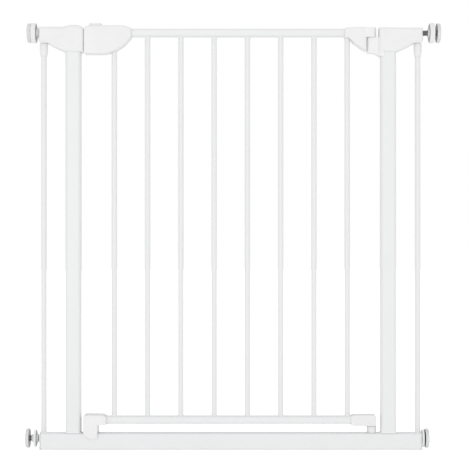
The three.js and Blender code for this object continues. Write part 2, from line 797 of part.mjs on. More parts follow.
for (const adjuster of ADJUSTERS) {
  const group = new THREE.Group();
  group.position.z = adjuster.z;
  group.rotation.y = adjuster.side * Math.PI / 2;
  place(group, `spindle_${adjuster.name}`, spindle(adjuster), DARK_STEEL);
  place(group, `hand_wheel_${adjuster.name}`, handWheel(adjuster), WHITE_PLASTIC);
  place(group, `wall_pad_${adjuster.name}`, wallPad(adjuster), GREY_RUBBER);
  gate.add(group);
}

export default gate;
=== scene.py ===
"""The looks of a pressure-fit safety gate: a white tube frame, four hand screws and a barred door.

Lengths are millimetres in this script, in the part's frame: +Z up, -Y the front, +X the hinge side.
They become metres where a mesh is made.
"""

import json
import math

import bmesh
import bpy
from mathutils import Matrix, Vector


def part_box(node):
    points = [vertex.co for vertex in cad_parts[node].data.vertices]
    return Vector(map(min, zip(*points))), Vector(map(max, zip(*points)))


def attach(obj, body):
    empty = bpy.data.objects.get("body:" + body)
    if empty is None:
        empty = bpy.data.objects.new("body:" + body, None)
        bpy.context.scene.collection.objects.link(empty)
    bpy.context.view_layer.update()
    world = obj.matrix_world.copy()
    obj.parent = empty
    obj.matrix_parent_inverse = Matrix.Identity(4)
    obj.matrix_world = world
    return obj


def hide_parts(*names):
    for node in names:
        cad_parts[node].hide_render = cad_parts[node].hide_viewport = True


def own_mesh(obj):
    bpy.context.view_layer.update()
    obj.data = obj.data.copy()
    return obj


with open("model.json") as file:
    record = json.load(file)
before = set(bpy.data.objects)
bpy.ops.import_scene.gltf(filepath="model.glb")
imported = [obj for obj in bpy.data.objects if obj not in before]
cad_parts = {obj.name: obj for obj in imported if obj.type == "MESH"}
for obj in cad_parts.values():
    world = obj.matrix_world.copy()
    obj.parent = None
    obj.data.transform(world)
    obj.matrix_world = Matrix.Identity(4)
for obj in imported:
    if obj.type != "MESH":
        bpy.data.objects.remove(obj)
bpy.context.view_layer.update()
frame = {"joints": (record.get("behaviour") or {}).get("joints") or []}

MM = 0.001
GAP = 0.3  # air between neighbouring pieces
SIDES = (("left", -1), ("right", 1))
HALVES = (("front", -1), ("rear", 1))
AXES = {"x": Vector((1, 0, 0)), "y": Vector((0, 1, 0)), "z": Vector((0, 0, 1))}

scene = bpy.context.scene


def box(node):
    """Lowest and highest corner of a CAD node, in millimetres."""
    low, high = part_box(node)
    return low / MM, high / MM


def centre_of(node):
    """The middle of a CAD node's box."""
    return [(a + b) / 2 for a, b in zip(*box(node))]


def radius_of(node, across="x"):
    """Half a round CAD node's width along an axis that crosses it."""
    low, high = box(node)
    return (getattr(high, across) - getattr(low, across)) / 2


def joint(name):
    return next(j for j in frame["joints"] if j["name"] == name)


HINGE_X = joint("door_swing")["pos_m"][0] / MM
LIFT = joint("door_lift")["range_m"][1] / MM
LATCH_TRAVEL = joint("latch_slide")["range_m"][1] / MM


# ---------------- camera, floor and light

CAMERA_DISTANCE = 2.3
CAMERA_X = 0.0077
CAMERA_Z = 0.3886
VIEW_WIDTH = 0.8535  # metres across the picture at the gate's plane
SENSOR = 36


def new_object(name, data):
    made = bpy.data.objects.new(name, data)
    scene.collection.objects.link(made)
    return made


def set_inputs(node, **values):
    """Sets a shader node's inputs. An underscore in a name stands for a space."""
    for socket, value in values.items():
        node.inputs[socket.replace("_", " ")].default_value = value


def add_node(nodes, kind, **values):
    node = nodes.new(f"ShaderNode{kind}")
    set_inputs(node, **values)
    return node


def make_camera():
    data = bpy.data.cameras.new("camera")
    data.sensor_width = SENSOR
    data.lens = SENSOR * CAMERA_DISTANCE / VIEW_WIDTH
    data.clip_end = 100
    camera = new_object("camera", data)
    camera.location = (CAMERA_X, -CAMERA_DISTANCE, CAMERA_Z)
    camera.rotation_euler = (math.radians(90), 0, 0)
    scene.camera = camera


def make_world():
    """White behind the gate. As light it comes mostly from the front."""
    all_round, from_front = 0.83, 0.13
    world = bpy.data.worlds.new("studio")
    scene.world = world
    world.use_nodes = True
    nodes, links = world.node_tree.nodes, world.node_tree.links
    nodes.clear()
    place = add_node(nodes, "TexCoord")
    parts = add_node(nodes, "SeparateXYZ")
    strongest = all_round + from_front
    grow = add_node(nodes, "MapRange", From_Min=0, From_Max=-1, To_Min=all_round, To_Max=strongest)
    seen = add_node(nodes, "LightPath")
    backdrop = add_node(nodes, "Background", Color=(1, 1, 1, 1))
    light = add_node(nodes, "Background", Color=(1, 1, 1, 1))
    mix = add_node(nodes, "MixShader")
    output = add_node(nodes, "OutputWorld")
    links.new(place.outputs["Generated"], parts.inputs[0])
    links.new(parts.outputs["Y"], grow.inputs["Value"])
    links.new(grow.outputs["Result"], light.inputs["Strength"])
    links.new(seen.outputs["Is Camera Ray"], mix.inputs["Fac"])
    links.new(light.outputs[0], mix.inputs[1])
    links.new(backdrop.outputs[0], mix.inputs[2])
    links.new(mix.outputs[0], output.inputs["Surface"])


def make_softbox(name, place, target, size, watts):
    data = bpy.data.lights.new(name, "AREA")
    data.shape = "RECTANGLE"
    data.size, data.size_y = size
    data.energy = watts
    lamp = new_object(name, data)
    lamp.location = place
    aim = Vector(target) - Vector(place)
    lamp.rotation_euler = aim.to_track_quat("-Z", "Y").to_euler()


def make_floor():
    """A pale studio floor, seen bright enough to run into the white behind it."""
    reach, drop, glow, seen_glow = 12, 0.0002, 0.24, 0.62
    mesh = bpy.data.meshes.new("floor")
    corners = [(-reach, -reach), (reach, -reach), (reach, reach), (-reach, reach)]
    mesh.from_pydata([(x, y, -drop) for x, y in corners], [], [(0, 1, 2, 3)])
    material = bpy.data.materials.new("floor")
    material.use_nodes = True
    nodes, links = material.node_tree.nodes, material.node_tree.links
    shader = nodes["Principled BSDF"]
    set_inputs(shader, Base_Color=(0.82, 0.82, 0.82, 1), Roughness=0.9)
    set_inputs(shader, Specular_IOR_Level=0, Emission_Color=(1, 1, 1, 1))
    seen = add_node(nodes, "LightPath")
    strength = add_node(nodes, "MapRange", To_Min=glow, To_Max=seen_glow)
    links.new(seen.outputs["Is Camera Ray"], strength.inputs["Value"])
    links.new(strength.outputs["Result"], shader.inputs["Emission Strength"])
    mesh.materials.append(material)
    floor = new_object("floor", mesh)


make_camera()
make_world()
make_floor()
make_softbox("front", (-0.3, -2.9, 0.35), (0, 0, 0.35), (2.2, 1.6), 15)
scene.view_settings.view_transform = "Standard"


# ---------------- materials


class Look:
    """A procedural material on a Principled shader, with object coordinates for its textures."""

    def __init__(self, name, **constants):
        self.material = bpy.data.materials.new(name)
        self.material.use_nodes = True
        tree = self.material.node_tree
        self.nodes, self.links = tree.nodes, tree.links
        self.shader = self.nodes["Principled BSDF"]
        self.place = add_node(self.nodes, "TexCoord")
        set_inputs(self.shader, **constants)

    def noise(self, scale, detail=3.0, stretch=(1, 1, 1)):
        """A noise value whose features repeat about scale times a metre."""
        mapping = add_node(self.nodes, "Mapping", Scale=stretch)
        texture = add_node(self.nodes, "TexNoise", Scale=scale, Detail=detail)
        self.links.new(self.place.outputs["Object"], mapping.inputs["Vector"])
        self.links.new(mapping.outputs["Vector"], texture.inputs["Vector"])
        return texture.outputs["Fac"]

    def spread(self, value, low, high, from_low=0.3, from_high=0.7):
        """The value moved from its own range to low..high."""
        node = add_node(self.nodes, "MapRange", From_Min=from_low, From_Max=from_high)
        set_inputs(node, To_Min=low, To_Max=high)
        self.links.new(value, node.inputs["Value"])
        return node.outputs["Result"]

    def mixed(self, factor, first, second):
        """A colour between first and second; each is a colour or a socket."""
        node = add_node(self.nodes, "Mix")
        node.data_type = "RGBA"
        self.links.new(factor, node.inputs["Factor"])
        for socket, colour in (("A", first), ("B", second)):
            target = [s for s in node.inputs if s.name == socket and s.type == "RGBA"][0]
            if isinstance(colour, tuple):
                target.default_value = (*colour, 1)
            else:
                self.links.new(colour, target)
        return [s for s in node.outputs if s.type == "RGBA"][0]

    def edges(self, low, high):
        """1 on outer edges and 0 elsewhere."""
        geometry = add_node(self.nodes, "NewGeometry")
        return self.spread(geometry.outputs["Pointiness"], 0, 1, low, high)

    def bump(self, height, distance, strength=1.0):
        node = add_node(self.nodes, "Bump", Strength=strength, Distance=distance)
        self.links.new(height, node.inputs["Height"])
        self.links.new(node.outputs["Normal"], self.shader.inputs["Normal"])

    def colour(self, socket):
        self.links.new(socket, self.shader.inputs["Base Color"])

    def roughness(self, socket):
        self.links.new(socket, self.shader.inputs["Roughness"])


def painted_steel():
    """Satin powder coat: a slight orange peel, faint cloudiness and thinner paint on edges."""
    look = Look("painted_steel", IOR=1.5, Coat_Weight=0.12, Coat_Roughness=0.25)
    cloud = look.spread(look.noise(14), 0, 1)
    body = look.mixed(cloud, (0.805, 0.81, 0.815), (0.83, 0.835, 0.838))
    look.colour(look.mixed(look.edges(0.53, 0.6), body, (0.77, 0.775, 0.78)))
    look.roughness(look.spread(look.noise(60), 0.34, 0.44))
    look.bump(look.noise(1100, 2.0), 0.00005, 0.35)
    return look.material


def white_plastic():
    """Moulded plastic with a fine spark-eroded grain and slightly rubbed edges."""
    look = Look("white_plastic", IOR=1.46)
    cloud = look.spread(look.noise(22), 0, 1)
    body = look.mixed(cloud, (0.802, 0.802, 0.802), (0.827, 0.827, 0.825))
    look.colour(look.mixed(look.edges(0.54, 0.62), body, (0.86, 0.86, 0.86)))
    rubbed = look.edges(0.52, 0.6)
    rough = look.spread(look.noise(90), 0.46, 0.54)
    less = add_node(look.nodes, "Math")
    less.operation = "MULTIPLY_ADD"
    less.inputs[1].default_value = -0.1
    look.links.new(rubbed, less.inputs[0])
    look.links.new(rough, less.inputs[2])
    look.roughness(less.outputs[0])
    look.bump(look.noise(2600, 2.0), 0.00004, 0.4)
    return look.material


def grey_rubber():
    """Matte rubber, dusty in places and cleaner where it is touched."""
    look = Look("grey_rubber", IOR=1.45)
    dust = look.spread(look.noise(70, 5.0), 0, 1)
    body = look.mixed(dust, (0.64, 0.645, 0.65), (0.72, 0.725, 0.73))
    look.colour(look.mixed(look.edges(0.53, 0.62), body, (0.77, 0.775, 0.78)))
    look.roughness(look.spread(look.noise(160), 0.68, 0.88))
    look.bump(look.noise(1800, 4.0), 0.00008, 0.6)
    return look.material


def plated_steel(name, dark, light, rough):
    """Zinc-plated steel: cloudy plating, fine turning marks and brighter edges."""
    look = Look(name, Metallic=1.0)
    cloud = look.spread(look.noise(130, 4.0), 0, 1)
    look.colour(look.mixed(look.edges(0.52, 0.6), look.mixed(cloud, dark, light), light))
    look.roughness(look.spread(look.noise(500), rough - 0.06, rough + 0.08))
    look.bump(look.noise(900, 3.0, (1, 6, 6)), 0.00004, 0.5)
    return look.material


PAINT = painted_steel()
PLASTIC = white_plastic()
RUBBER = grey_rubber()
ROD = plated_steel("spindle_steel", (0.16, 0.165, 0.17), (0.34, 0.345, 0.35), 0.36)
BRIGHT = plated_steel("bright_steel", (0.5, 0.5, 0.5), (0.72, 0.72, 0.73), 0.3)


# ---------------- making meshes

SMOOTH_ANGLE = math.radians(32)


def to_object(name, bm):
    """Turns a bmesh in millimetres into an object in metres."""
    bmesh.ops.scale(bm, vec=(MM, MM, MM), verts=bm.verts)
    bmesh.ops.recalc_face_normals(bm, faces=bm.faces)
    mesh = bpy.data.meshes.new(name)
    bm.to_mesh(mesh)
    bm.free()
    return new_object(name, mesh)


def piece(name, bm, body, material, *replaced):
    """Makes a piece of the gate that rides on a body and stands for CAD nodes."""
    made = to_object(name, bm)
    made.data.materials.append(material)
    made["body"] = body
    if replaced:
        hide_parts(*replaced)
    return made


def apply_modifiers(made):
    graph = bpy.context.evaluated_depsgraph_get()
    mesh = bpy.data.meshes.new_from_object(made.evaluated_get(graph))
    made.modifiers.clear()
    made.data = mesh


def finish(made):
    """Smooth shading with crisp edges, and the piece set on its body."""
    made.data.shade_smooth()
    made.data.set_sharp_from_angle(angle=SMOOTH_ANGLE)
    weighted = made.modifiers.new("weighted_normals", "WEIGHTED_NORMAL")
    weighted.keep_sharp = True
    weighted.weight = 80
    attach(made, made["body"])
    del made["body"]
    return made


def combine(made, operation, tools):
    """Cuts a piece with tool meshes, joins it to them or keeps what it has in common with them."""
    for part in tools:
        modifier = made.modifiers.new("combine", "BOOLEAN")
        modifier.operation = operation
        modifier.object = part
        modifier.solver = "EXACT"
    apply_modifiers(made)
    for part in tools:
        bpy.data.objects.remove(part)
    return made


def cut(made, *tools):
    return combine(made, "DIFFERENCE", tools)


def join(made, *tools):
    return combine(made, "UNION", tools)


def common(made, *tools):
    return combine(made, "INTERSECT", tools)


def tool(bm):
    """A cutter: a mesh that is no piece of the gate."""
    return to_object("tool", bm)


def block_tool(low, high):
    bm = bmesh.new()
    low, high = Vector(low), Vector(high)
    spot = Matrix.Translation((low + high) / 2) @ Matrix.Diagonal((*(high - low), 1))
    bmesh.ops.create_cube(bm, size=1, matrix=spot)
    return tool(bm)


def rod_tool(centre, axis, radius, start, end):
    return tool(turned([(0, start), (radius, start), (radius, end), (0, end)], centre, axis, 48))


def hinge_rod(radius, start, end):
    """A rod about the hinge axis, from height start to height end."""
    return rod_tool((HINGE_X, 0, 0), "z", radius, start, end)


def arc(centre, radius, start, end, steps):
    """Points on an arc, with its angles in degrees."""
    for i in range(steps + 1):
        angle = math.radians(start + (end - start) * i / steps)
        yield (centre[0] + radius * math.cos(angle), centre[1] + radius * math.sin(angle))


def curve(*handles, steps=14):
    """Points on a Bezier curve, without its first point."""
    for i in range(1, steps + 1):
        points = [Vector(p) for p in handles]
        while len(points) > 1:
            points = [a.lerp(b, i / steps) for a, b in zip(points, points[1:])]
        yield tuple(points[0])


def soften(points, steps=6, closed=True):
    """A polyline whose corners are rounded. A point is (a, b) or (a, b, corner radius)."""
    count = len(points)
    softened = []
    for i, point in enumerate(points):
        here = Vector(point[:2])
        radius = point[2] if len(point) > 2 else 0
        if radius == 0 or (not closed and i in (0, count - 1)):
            softened.append(tuple(here))
            continue
        before = Vector(points[i - 1][:2]) - here
        after = Vector(points[(i + 1) % count][:2]) - here
        half_turn = before.angle(after) / 2
        reach = radius / math.tan(half_turn)
        middle = here + (before.normalized() + after.normalized()).normalized() * (
            radius / math.sin(half_turn)
        )
        first = here + before.normalized() * reach - middle
        last = here + after.normalized() * reach - middle
        turn = first.angle_signed(last)
        for k in range(steps + 1):
            softened.append(tuple(middle + Matrix.Rotation(-turn * k / steps, 2) @ first))
    return softened


def turned(profile, centre, axis="z", segments=64, ripple=None):
    """A solid of revolution. The profile is (radius, distance along the axis) pairs, and either
    starts and ends on the axis or is a closed ring. ripple(radius, angle) changes the radius."""
    bm = bmesh.new()
    centre = Vector(centre)
    along = AXES[axis]
    across = AXES["z"] if axis == "x" else AXES["x"]
    third = along.cross(across)
    solid = profile[0][0] == 0
    rings = []
    for radius, height in profile:
        if radius == 0:
            rings.append([bm.verts.new(centre + along * height)])
            continue
        ring = []
        for k in range(segments):
            angle = 2 * math.pi * k / segments
            r = radius if ripple is None else ripple(radius, angle)
            spot = across * r * math.cos(angle) + third * r * math.sin(angle)
            ring.append(bm.verts.new(centre + along * height + spot))
        rings.append(ring)
    pairs = list(zip(rings, rings[1:]))
    if not solid:
        pairs.append((rings[-1], rings[0]))
    for a, b in pairs:
        for k in range(segments):
            n = (k + 1) % segments
            if len(a) == 1:
                bm.faces.new((a[0], b[k], b[n]))
            elif len(b) == 1:
                bm.faces.new((a[k], a[n], b[0]))
            else:
                bm.faces.new((a[k], a[n], b[n], b[k]))
    return bm


def rectangle(width, height, corner, steps=8):
    """A rounded rectangle's points about the origin."""
    x, y = width / 2, height / 2
    square = [(x, -y, corner), (x, y, corner), (-x, y, corner), (-x, -y, corner)]
    return soften(square, steps)


def walls(bm, rings):
    """Adds the faces between neighbouring rings of vertices."""
    count = len(rings[0])
    for a, b in zip(rings, rings[1:]):
        for k in range(count):
            n = (k + 1) % count
            bm.faces.new((a[k], a[n], b[n], b[k]))


def skin(bm, rings):
    """Adds the faces between neighbouring rings of vertices and a face on each end."""
    walls(bm, rings)
    bm.faces.new(rings[0])
    bm.faces.new(rings[-1])


def flat_ring(bm, points, axis, distance, centre):
    """A ring of vertices square to an axis."""
    across = AXES["y"] if axis == "x" else AXES["x"]
    third = AXES["y"] if axis == "z" else AXES["z"]
    return [
        bm.verts.new(AXES[axis] * distance + across * (centre[0] + u) + third * (centre[1] + v))
        for u, v in points
    ]


def prism(points, axis, start, end, centre=(0, 0)):
    """A solid with the same section all along an axis."""
    bm = bmesh.new()
    ends = [flat_ring(bm, points, axis, distance, centre) for distance in (start, end)]
    walls(bm, ends)
    bm.faces.new(reversed(ends[0]))
    bm.faces.new(ends[1])
    return bm


def swept(sections, axis):
    """A closed tube through a list of (points, distance along the axis, centre) sections, joined
    in order and back to the first, so an outer and an inner skin make a hollow tube."""
    bm = bmesh.new()
    rings = [flat_ring(bm, points, axis, distance, centre) for points, distance, centre in sections]
    walls(bm, rings + rings[:1])
    return bm


def tube(node, axis, corner, wall, end_round=0.5):
    """A rounded rectangular tube that fills a CAD node's box, with softened ends."""
    low, high = box(node)
    u, v = (1, 2) if axis == "x" else (0, 1)
    w = 0 if axis == "x" else 2
    width, height = high[u] - low[u], high[v] - low[v]
    centre = ((high[u] + low[u]) / 2, (high[v] + low[v]) / 2)
    outer = rectangle(width, height, corner)
    trimmed = rectangle(width - 2 * end_round, height - 2 * end_round, corner - end_round)
    inner = rectangle(width - 2 * wall, height - 2 * wall, max(corner - wall, 0.5))
    return swept(
        [
            (trimmed, low[w], centre), (outer, low[w] + end_round, centre),
            (outer, high[w] - end_round, centre), (trimmed, high[w], centre),
            (inner, high[w], centre), (inner, low[w], centre),
        ],
        axis,
    )


def pillow(outline, y_face, y_seam, rim, seam=0.35, steps=7):
    """Half a shell: an outline in X and Z, rounded over to its outer face, chamfered at its seam."""
    out = 1 if y_face > y_seam else -1
    area = sum(a[0] * b[1] - b[0] * a[1] for a, b in zip(outline, outline[1:] + outline[:1]))
    turn = 1 if area > 0 else -1
    points = [Vector(p) for p in outline]
    count = len(points)
    inward = []
    for k in range(count):
        before = (points[k] - points[k - 1]).normalized()
        after = (points[(k + 1) % count] - points[k]).normalized()
        first = Vector((-before.y, before.x)) * turn
        second = Vector((-after.y, after.x)) * turn
        inward.append((first + second) / (1 + first.dot(second)))
    rings = [(seam, y_seam), (0, y_seam + out * seam)]
    for i in range(steps + 1):
        angle = math.pi / 2 * i / steps
        rings.append((rim * (1 - math.cos(angle)), y_face - out * rim * (1 - math.sin(angle))))
    bm = bmesh.new()
    loops = []
    for inset, y in rings:
        moved = [p + n * inset for p, n in zip(points, inward)]
        loops.append([bm.verts.new((p.x, y, p.y)) for p in moved])
    skin(bm, loops)
    return bm


def absorb(bm, other):
    """Moves what another bmesh holds into this one."""
    mesh = bpy.data.meshes.new("part")
    other.to_mesh(mesh)
    other.free()
    bm.from_mesh(mesh)
    bpy.data.meshes.remove(mesh)


def cushion(outline, half_depth, rim, steps=5):
    """A plate about the XZ plane, rounded over on both faces."""
    bm = pillow(outline, -half_depth, 0, rim, 0, steps)
    absorb(bm, pillow(outline, half_depth, 0, rim, 0, steps))
    seams = [
        face
        for face in bm.faces
        if len(face.verts) == len(outline) and abs(face.calc_center_median().y) < 0.01
    ]
    bmesh.ops.delete(bm, geom=seams, context="FACES_ONLY")
    bmesh.ops.remove_doubles(bm, verts=bm.verts, dist=0.001)
    return bm


def face_and_seam(node, direction):
    """Y of a half shell's outer face and of its seam."""
    low, high = box(node)
    return (low.y, high.y) if direction < 0 else (high.y, low.y)


# ---------------- the tube frame

RAIL_CORNER, POST_CORNER, DOOR_RAIL_CORNER = 3, 6, 4
TUBE_WALL, BAR_WALL = 1.5, 1.0
DOOR_BARS = [f"door_bar_{number}" for number in range(1, 9)]


def tube_piece(node, axis, corner, body):
    return piece(f"{node}_tube", tube(node, axis, corner, TUBE_WALL), body, PAINT, node)


def bolt_slot(start, end):
    """The slot for the latch bolt, high enough for the bolt to rise with the door."""
    low, high = box("latch_bolt")
    half, room = 5, 2
    return block_tool((start, -half, low.z - room), (end, half, high.z + LIFT + room))


def make_tubes():
    finish(tube_piece("base_rail", "x", RAIL_CORNER, "frame"))
    finish(tube_piece("post_right", "z", POST_CORNER, "frame"))
    finish(tube_piece("door_top_rail", "x", DOOR_RAIL_CORNER, "door"))
    finish(tube_piece("door_bottom_rail", "x", DOOR_RAIL_CORNER, "door"))
    post = tube_piece("post_left", "z", POST_CORNER, "frame")
    low, high = box("latch_bolt")
    finish(cut(post, bolt_slot(low.x - 3, high.x)))


def chamfered(inner, radius, low, high, chamfer):
    """Profile of a turned rod or tube with chamfered ends."""
    return [
        (inner, low), (radius - chamfer, low), (radius, low + chamfer), (radius, high - chamfer),
        (radius - chamfer, high), (inner, high),
    ]


def make_bar(node, body):
    low, high = box(node)
    radius = radius_of(node)
    profile = chamfered(radius - BAR_WALL, radius, low.z, high.z, 0.3)
    made = turned(profile, (centre_of(node)[0], 0, 0), segments=48)
    finish(piece(f"{node}_tube", made, body, PAINT, node))


def bead_ring(bm, bar, z, up):
    """Adds a concave weld fillet round a bar that stands on a rail's face at height z."""
    leg, bite = 2.6, 0.5
    radius = radius_of(bar)
    profile = [(radius - bite, z - bite * up), (radius + leg, z - 0.45 * up)]
    for u, v in arc((radius + leg, leg), leg, 270, 180, 6):
        profile.append((u, z + up * v))
    profile.append((radius - bite, z + up * leg))
    absorb(bm, turned(profile, (centre_of(bar)[0], 0, 0), segments=40))


def make_door_welds():
    top_face = box("door_top_rail")[0].z
    bottom_face = box("door_bottom_rail")[1].z
    for name, z, up in (("door_top_welds", top_face, -1), ("door_bottom_welds", bottom_face, 1)):
        bm = bmesh.new()
        for bar in DOOR_BARS:
            bead_ring(bm, bar, z, up)
        finish(piece(name, bm, "door", PAINT))


def make_frame_welds():
    """Fillets at the feet of the side bars, and flares that run out along the rail at each post."""
    top = box("base_rail")[1].z
    bm = bmesh.new()
    for side, _ in SIDES:
        bead_ring(bm, f"side_bar_{side}", top, 1)
    finish(piece("side_bar_welds", bm, "frame", PAINT))
    for side, leg in (("left", 2.4), ("right", 3.6)):
        low, high = box(f"post_{side}")
        centre = (centre_of(f"post_{side}")[0], 0)
        width, depth = high.x - low.x, high.y - low.y
        sections = []
        for u, v in arc((leg, leg), leg, 270, 180, 8):
            loop = rectangle(width + 2 * u, depth + 0.1 * u, POST_CORNER)
            sections.append((loop, top + v, centre))
        inside = rectangle(width - 1, depth - 1, POST_CORNER - 0.5)
        sections.append((inside, top + leg, centre))
        sections.append((inside, top + 0.02, centre))
        finish(piece(f"post_weld_{side}", swept(sections, "z"), "frame", PAINT))


make_tubes()
for side, _ in SIDES:
    make_bar(f"side_bar_{side}", "frame")
for bar in DOOR_BARS:
    make_bar(bar, "door")
make_door_welds()
make_frame_welds()


# ---------------- screws


def screw_tool(node):
    """The counterbore that a shell's screw sits in. It runs on past the shell's rear face."""
    room, sunk, beyond = 0.3, 3, 30
    x, _, z = centre_of(node)
    top = box(node)[1].y
    return rod_tool((x, 0, z), "y", radius_of(node) + room, top - sunk, top + beyond)


def make_screw(node, body):
    """A pan-head screw with a cross recess, seen from the rear."""
    low, high = box(node)
    x, _, z = centre_of(node)
    head, shaft, head_height = radius_of(node), 1.8, 2.4
    profile = [
        (0, low.y), (shaft, low.y + 1.5), (shaft, high.y - head_height),
        (head - 0.2, high.y - head_height), (head, high.y - head_height + 0.3),
        *curve((head, high.y - 1.5), (head, high.y - 0.2), (head / 2, high.y), (0.6, high.y), steps=8),
        (0, high.y),
    ]
    made = piece(f"{node}_steel", turned(profile, (x, 0, z), "y", 40), body, BRIGHT, node)
    arm, half, deep = head * 0.55, 0.45, 1.3
    recess = [
        block_tool((x - u, high.y - deep, z - v), (x + u, high.y + 1, z + v))
        for u, v in ((arm, half), (half, arm))
    ]
    finish(cut(made, *recess))


# ---------------- corner housings and lug

FAR = 25  # how far a trimmed side of an outline runs on past the trim
CROWN = {"left": 3.3, "right": 0.5}  # how far a housing rises over its post
# From the gate's middle to a housing's side towards the door, and to its outer side
HOUSING_INNER = {"left": -box("housing_left_front")[1].x - 1.0, "right": box("post_right")[0].x - 2.8}
HOUSING_OUTER = box("housing_right_front")[1].x
HOUSING_BOTTOM = box("housing_left_front")[0].z
ARM_TOP = {side: box(f"housing_{side}_front")[1].z - CROWN[side] for side in CROWN}
ARM_BOTTOM = box("ferrule_left")[1].z + 0.4
LUG_TOP = box("upper_hinge_washer")[0].z - GAP
LUG_BOTTOM = box("upper_hinge_pin")[0].z - 6
LUG_RADIUS = HINGE_X - box("housing_right_front")[0].x
WEB_BOTTOM = box("housing_right_front")[0].z
UNDER_LUG, OVER_LUG, OVER_COVER = 690, 760, 800  # heights well clear of what is between them


def mirrored(points, side):
    sign = dict(SIDES)[side]
    return [(sign * x, z) for x, z in points]


def housing_outline(side):
    """The rounded form of a corner housing: a level arm and a crown over the post."""
    inner, arm = HOUSING_INNER[side], ARM_TOP[side]
    top = arm + CROWN[side]
    if side == "right":
        crown = [(284, top), (inner - FAR, top)]
    else:
        crown = [
            *curve((306, arm), (297, arm), (296, top), (286, top), steps=12),
            *curve((284, top), (274, top), (inner, top - 2.5), (inner, top - 11)),
        ]
    last = crown[-1][0]
    rounded = [
        (last, UNDER_LUG, 8), (HOUSING_OUTER + FAR, UNDER_LUG, 8), (HOUSING_OUTER + FAR, arm, 8),
        (306, arm),
    ]
    return mirrored(soften(rounded + crown), side)


def housing_trim(side):
    """What bounds a housing's skirt, the underside of its arm and its outer end."""
    inner = HOUSING_INNER[side] if side == "right" else HOUSING_INNER[side] - FAR
    bottom, top = HOUSING_BOTTOM, ARM_TOP[side] + FAR
    trim = [
        (inner, bottom, 4.8),
        (298, bottom),
        *curve((298, bottom), (308, bottom + 4), (320, bottom + 8.5), (331.6, ARM_BOTTOM)),
        (HOUSING_OUTER, ARM_BOTTOM, 4.8), (HOUSING_OUTER, top, 4.8), (inner, top, 4.8),
    ]
    return mirrored(soften(trim), side)


def post_room(side):
    node = f"post_{side}"
    low, high = box(node)
    points = rectangle(high.x - low.x + 2 * GAP, high.y - low.y + 2 * GAP, POST_CORNER)
    return tool(prism(points, "z", low.z, high.z + GAP, (centre_of(node)[0], 0)))


def housing_rooms(side):
    """What the inside of a housing is cut away for."""
    arm_tube, bar = f"arm_tube_{side}", f"side_bar_{side}"
    start, end = (corner.x for corner in box(arm_tube))
    beyond = 6
    ends = (start - beyond, end) if side == "left" else (start, end + beyond)
    bar_top = box(bar)[1].z
    rooms = [
        post_room(side),
        rod_tool((0, 0, centre_of(arm_tube)[2]), "x", radius_of(arm_tube, "z") + GAP, *ends),
        rod_tool((centre_of(bar)[0], 0, 0), "z", radius_of(bar) + GAP, bar_top - 40, bar_top + GAP),
        screw_tool(f"housing_screw_{side}"),
    ]
    if side == "left":
        low, high = box("latch_keeper")
        low_corner = (low.x - GAP, low.y - GAP, low.z - GAP)
        rooms.append(block_tool(low_corner, (high.x + 8, high.y + GAP, high.z + GAP)))
    else:
        low, high = box("upper_hinge_bush")
        rooms.append(hinge_rod(radius_of("upper_hinge_bush") + GAP, low.z - GAP, high.z + 20))
    return rooms


def lug():
    """The block that carries the upper hinge, rounded about the hinge axis and swept into the post."""
    half, half_depth = LUG_RADIUS - 0.2, 13.9
    inner = HOUSING_INNER["right"]
    flare = [
        (HINGE_X + 5, half, 5), (HINGE_X + 11.2, 9.1, 2.2), (HINGE_X + 13.6, 11.8, 3),
        (inner + 8, 13.7),
    ]
    plan = soften([
        (HINGE_X - LUG_RADIUS, half, 6), (HINGE_X - LUG_RADIUS, -half, 6),
        *((x, -y, *radius) for x, y, *radius in flare),
        *reversed(flare),
    ], steps=10)
    front = soften([
        (HINGE_X - LUG_RADIUS - 5, LUG_TOP, 0), (HINGE_X - LUG_RADIUS - 5, LUG_BOTTOM, 0),
        (HINGE_X + 4, LUG_BOTTOM - 0.6, 14), (inner + 4, WEB_BOTTOM - 0.4, 2),
        (inner + 9, WEB_BOTTOM + 1), (inner + 9, LUG_TOP),
    ])
    return common(tool(prism(plan, "z", UNDER_LUG, OVER_LUG)), tool(cushion(front, half_depth, 0.5)))


def half_lug(y_seam, direction):
    """The lug on one side of the seam: what lies in a block that is larger than the lug."""
    near, far = sorted((y_seam, direction * 30))
    return common(lug(), block_tool((200, near, 600), (400, far, 900)))


def make_housings():
    for side, top_rim in (("left", 6), ("right", 4.5)):
        for half, direction in HALVES:
            node = f"housing_{side}_{half}"
            y_face, y_seam = face_and_seam(node, direction)
            rounded = pillow(housing_outline(side), y_face, y_seam, top_rim)
            made = piece(f"{node}_shell", rounded, "frame", PLASTIC, node)
            common(made, tool(pillow(housing_trim(side), y_face + 0.3 * direction, y_seam, 4.6)))
            if side == "right":
                join(made, half_lug(y_seam, direction))
            finish(cut(made, *housing_rooms(side)))


make_housings()
for side, _ in SIDES:
    make_screw(f"housing_screw_{side}", "frame")


# ---------------- handle and latch


def handle_outline():
    low, high = box("handle_front")
    left, right, bottom, top = low.x - FAR, high.x, low.z, high.z
    return soften([
        (left, bottom, 5),
        (-228, bottom),
        *curve((-228, bottom), (-210, bottom + 2), (-192, bottom + 13), (right, bottom + 31), steps=20),
        (right, top - 5, 4.5),
        *curve((-188, top - 1.6), (-196, top), (-209, top), steps=8),
        *curve((-250, top), (-258, top), (-264, top - 3), (left, top - 14), steps=10),
    ])


def handle_trim():
    low, high = box("handle_front")
    return soften([
        (low.x, low.z, 1.5), (high.x + FAR, low.z - FAR, 2), (high.x + FAR, high.z + FAR, 2),
        (low.x, high.z + FAR, 2),
    ])


def rail_room(node):
    low, high = box(node)
    points = rectangle(high.y - low.y + 2 * GAP, high.z - low.z + 2 * GAP, DOOR_RAIL_CORNER)
    return tool(prism(points, "x", low.x - GAP, high.x + GAP, (0, centre_of(node)[2])))


